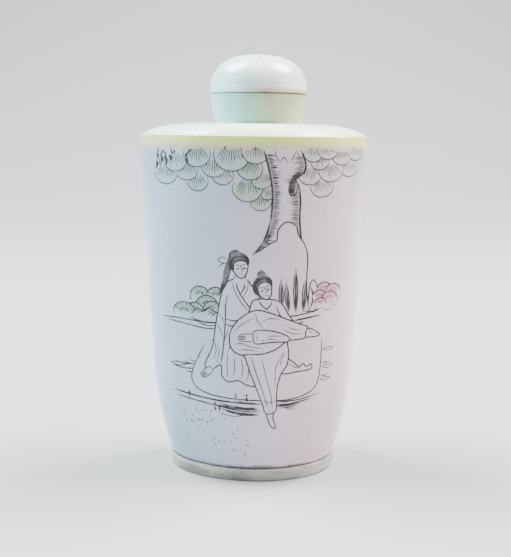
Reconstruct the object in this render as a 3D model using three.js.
// A bone snuff bottle that stands on its foot. Millimetres, +Z up, front towards -Y.
//
// It is made as such bottles are, from five pieces of bone:
//   foot      an oval plate that closes the tube below
//   body      a hollow length of shaft bone, open at both ends, narrower below
//   shoulder  a low domed plate on the tube's top, with the mouth through it
//   neck      a turned collar that flares upwards, bored through
//   stopper   a flat-topped knob whose peg drops into the neck's bore
//
// The origin is the middle of the underside. The shoulder joint was cut a little out of level,
// so the shoulder, the neck and the stopper all drop slightly towards +X.

import * as THREE from 'three';
import { ParametricGeometry } from 'three/addons/geometries/ParametricGeometry.js';

// ---- driving dimensions ---------------------------------------------------------------------

const HEIGHT = 75.0; // underside to the top of the stopper
const DEPTH_RATIO = 0.65; // half-depth over half-width of the body's oval
const CROWN_SHIFT = 0.055; // the oval's broadest point lies this share of a half-width to +X

const FOOT_HALF_WIDTH = 15.35;
const FOOT_HEIGHT = 2.4;
const FOOT_EDGE = 0.3; // radius worn on its outer edges

const BODY_TOP = 59.65; // height of the shoulder joint on the axis
const BODY_HALF_WIDTH = 20.0; // at and just below the shoulder
const TAPER_TOP = 56.2; // the sides stand upright above this height
const BEND_TOP = 22.0; // the sides curve in below this height
const BEND_HALF_WIDTH = 18.57;
const BEND_RADIUS = 76.5; // of that curve, which meets the straight taper smoothly
const BODY_EDGE = 0.35; // radius on the tube's lower outer edge
const WALL = 2.6;

const TILT = Math.tan(THREE.MathUtils.degToRad(0.4)); // drop of the upper pieces for each mm to +X
const GLUE = 0.05; // film between the tilted pieces

const RIM_HEIGHT = 1.65; // upright edge of the shoulder, flush with the body
const RIM_EDGE = 0.25; // radius where that edge turns into the dome
const DOME_RISE = 1.95; // from the rim up to the neck's seat
const DOME_POWER = 3.1; // a higher power keeps the dome flat for longer
const SEAT_RADIUS = 7.82;

const AXIS_OFFSET = 0.73; // the neck and the stopper stand this far to +X of the body's axis
const NECK_BASE_RADIUS = 7.62;
const NECK_TOP_RADIUS = 8.36;
const NECK_BULGE = 0.14; // how far its flaring side bows outwards
const NECK_HEIGHT = 4.95;
const BORE_RADIUS = 4.0;

const KNOB_RADIUS = 8.5;
const KNOB_POWER = 2.55; // of the superellipse that is its outline
const PEG_RADIUS = 3.7;
const PEG_LENGTH = 4.4;
const PEG_EDGE = 0.5; // bevel on its end

const OVAL_SIDES = 64;
const ROUND_SIDES = 48;
const EDGE_STEPS = 3;
const BEND_STEPS = 8;
const DOME_STEPS = 9;
const FLARE_STEPS = 6;
const KNOB_STEPS = 14;

// ---- heights that follow --------------------------------------------------------------------

const SHOULDER_BASE = BODY_TOP + GLUE;
const RIM_TOP = SHOULDER_BASE + RIM_HEIGHT;
const NECK_BASE = RIM_TOP + DOME_RISE + GLUE;
const SEAM = NECK_BASE + NECK_HEIGHT + GLUE;

// ---- materials: one bone for each tone ------------------------------------------------------

const bone = (color, roughness) => new THREE.MeshStandardMaterial({ color, roughness });
const whiteBone = bone(0xdfdfe2, 0.3);
const yellowBone = bone(0xdcdec2, 0.35);
const turnedBone = bone(0xdce6de, 0.35);
const greyBone = bone(0xb9bdb4, 0.45);

// ---- helpers --------------------------------------------------------------------------------

const { lerp } = THREE.MathUtils;

// The numbers 0 to 1 in equal steps, both ends included.
const shares = (steps) => Array.from({ length: steps + 1 }, (_, i) => i / steps);

// One oval ring of a skin: half-width a, half-depth b, height z, centre x, and the drop of its
// height for each mm to +X. An oval ring is slightly egg-shaped: its ends stay where they are
// and its broadest part moves to +X. A round ring isn't.
function ringPoint({ a, b, z, x = 0, drop = 0 }, angle, target) {
  const crown = a > b ? CROWN_SHIFT * a * Math.min((1 - b / a) / (1 - DEPTH_RATIO), 1) : 0;
  const across = x + a * Math.cos(angle) + crown * Math.sin(angle) ** 2;
  return target.set(across, b * Math.sin(angle), z - drop * across);
}

// A skin through a list of rings, upwards on the outside. The list closes on itself, around a
// hole, or starts and ends with a ring of no size on the axis.
function ovalSkin(rings) {
  const last = rings.length - 1;
  const surface = (u, v, target) => ringPoint(rings[Math.round(v * last)], 2 * Math.PI * u, target);
  return new ParametricGeometry(surface, OVAL_SIDES, last);
}

// A quarter-round edge on an upright wall, as [inset, rise] pairs from its flat end face up.
function quarterRound(radius) {
  return shares(EDGE_STEPS).map((s) => {
    const turn = (s * Math.PI) / 2;
    return [radius * (1 - Math.sin(turn)), radius * (1 - Math.cos(turn))];
  });
}

// A turned form: [radius, height] pairs carried round an upright axis, over the point where the
// neck stands, and dropped by the tilt as the shoulder is.
function turned(profile, base) {
  const points = profile.map(([radius, height]) => new THREE.Vector2(radius, height));
  const geometry = new THREE.LatheGeometry(points, ROUND_SIDES);
  geometry.rotateX(Math.PI / 2).translate(AXIS_OFFSET, 0, base);
  return geometry.applyMatrix4(new THREE.Matrix4().makeShear(0, -TILT, 0, 0, 0, 0));
}

function piece(name, geometry, material) {
  const mesh = new THREE.Mesh(geometry, material);
  mesh.name = name;
  return mesh;
}

// ---- foot -----------------------------------------------------------------------------------

function makeFoot() {
  const halfDepth = FOOT_HALF_WIDTH * DEPTH_RATIO;
  const outline = (inset, z) => ({ a: FOOT_HALF_WIDTH - inset, b: halfDepth - inset, z });
  const lower = quarterRound(FOOT_EDGE).map(([inset, rise]) => outline(inset, rise));
  const upper = quarterRound(FOOT_EDGE).map(([inset, rise]) => outline(inset, FOOT_HEIGHT - rise));
  const middle = (z) => ({ a: 0, b: 0, z });
  return ovalSkin([middle(0), ...lower, ...upper.reverse(), middle(FOOT_HEIGHT)]);
}

// ---- body -----------------------------------------------------------------------------------

// Half-width of the tube at a height: upright, then a straight taper, then an arc inwards.
function bodyHalfWidth(z) {
  const slope = (BODY_HALF_WIDTH - BEND_HALF_WIDTH) / (TAPER_TOP - BEND_TOP);
  const straight = BODY_HALF_WIDTH - slope * Math.max(TAPER_TOP - z, 0);
  const below = Math.max(BEND_TOP - z, 0);
  return straight - BEND_RADIUS + Math.sqrt(BEND_RADIUS ** 2 - below ** 2);
}

function bodyRing(z, inset) {
  const a = bodyHalfWidth(z);
  return { a: a - inset, b: a * DEPTH_RATIO - inset, z, drop: z === BODY_TOP ? TILT : 0 };
}

function makeBody() {
  const edge = quarterRound(BODY_EDGE).map(([inset, rise]) => bodyRing(FOOT_HEIGHT + rise, inset));
  const bend = shares(BEND_STEPS).slice(1).map((s) => lerp(FOOT_HEIGHT + BODY_EDGE, BEND_TOP, s));
  const outer = [...bend, TAPER_TOP, BODY_TOP].map((z) => bodyRing(z, 0));
  const inner = [...bend, TAPER_TOP, BODY_TOP].map((z) => bodyRing(z, WALL));
  return ovalSkin([...edge, ...outer, ...inner.reverse(), bodyRing(FOOT_HEIGHT, WALL), edge[0]]);
}

// ---- shoulder -------------------------------------------------------------------------------

// The dome is a loft from the oval rim, at share 1, in to the round seat, at share 0.
function domeRing(share) {
  const halfWidth = BODY_HALF_WIDTH - RIM_EDGE;
  const halfDepth = BODY_HALF_WIDTH * DEPTH_RATIO - RIM_EDGE;
  return {
    a: lerp(SEAT_RADIUS, halfWidth, share),
    b: lerp(SEAT_RADIUS, halfDepth, share),
    z: RIM_TOP + DOME_RISE * (1 - share ** DOME_POWER),
    x: lerp(AXIS_OFFSET, 0, share),
    drop: TILT,
  };
}

function makeShoulder() {
  const hole = (z) => ({ a: BORE_RADIUS, b: BORE_RADIUS, z, x: AXIS_OFFSET, drop: TILT });
  const rim = (inset, z) => {
    return { a: BODY_HALF_WIDTH - inset, b: BODY_HALF_WIDTH * DEPTH_RATIO - inset, z, drop: TILT };
  };
  const edge = quarterRound(RIM_EDGE).map(([inset, rise]) => rim(inset, RIM_TOP - rise)).reverse();
  const dome = shares(DOME_STEPS).slice(1).map((s) => domeRing(1 - s));
  const start = hole(SHOULDER_BASE);
  return ovalSkin([start, rim(0, SHOULDER_BASE), ...edge, ...dome, hole(RIM_TOP + DOME_RISE), start]);
}

// ---- neck -----------------------------------------------------------------------------------

function makeNeck() {
  const flare = shares(FLARE_STEPS).map((s) => {
    const bow = NECK_BULGE * 4 * s * (1 - s);
    return [lerp(NECK_BASE_RADIUS, NECK_TOP_RADIUS, s) + bow, NECK_HEIGHT * s];
  });
  const start = [BORE_RADIUS, 0];
  return turned([start, ...flare, [BORE_RADIUS, NECK_HEIGHT], start], NECK_BASE);
}

// ---- stopper --------------------------------------------------------------------------------

function makeStopper() {
  const peg = [
    [0, -PEG_LENGTH],
    [PEG_RADIUS - PEG_EDGE, -PEG_LENGTH],
    [PEG_RADIUS, PEG_EDGE - PEG_LENGTH],
    [PEG_RADIUS, 0],
  ];
  const knobHeight = HEIGHT - SEAM;
  const knob = shares(KNOB_STEPS).map((s) => {
    const turn = (s * Math.PI) / 2;
    const radius = s < 1 ? KNOB_RADIUS * Math.cos(turn) ** (2 / KNOB_POWER) : 0;
    return [radius, knobHeight * Math.sin(turn) ** (2 / KNOB_POWER)];
  });
  return turned([...peg, ...knob], SEAM);
}

// ---- the bottle -----------------------------------------------------------------------------

const bottle = new THREE.Group();
bottle.add(
  piece('foot', makeFoot(), greyBone),
  piece('body', makeBody(), whiteBone),
  piece('shoulder', makeShoulder(), yellowBone),
  piece('neck', makeNeck(), turnedBone),
  piece('stopper', makeStopper(), turnedBone),
);

export default bottle;
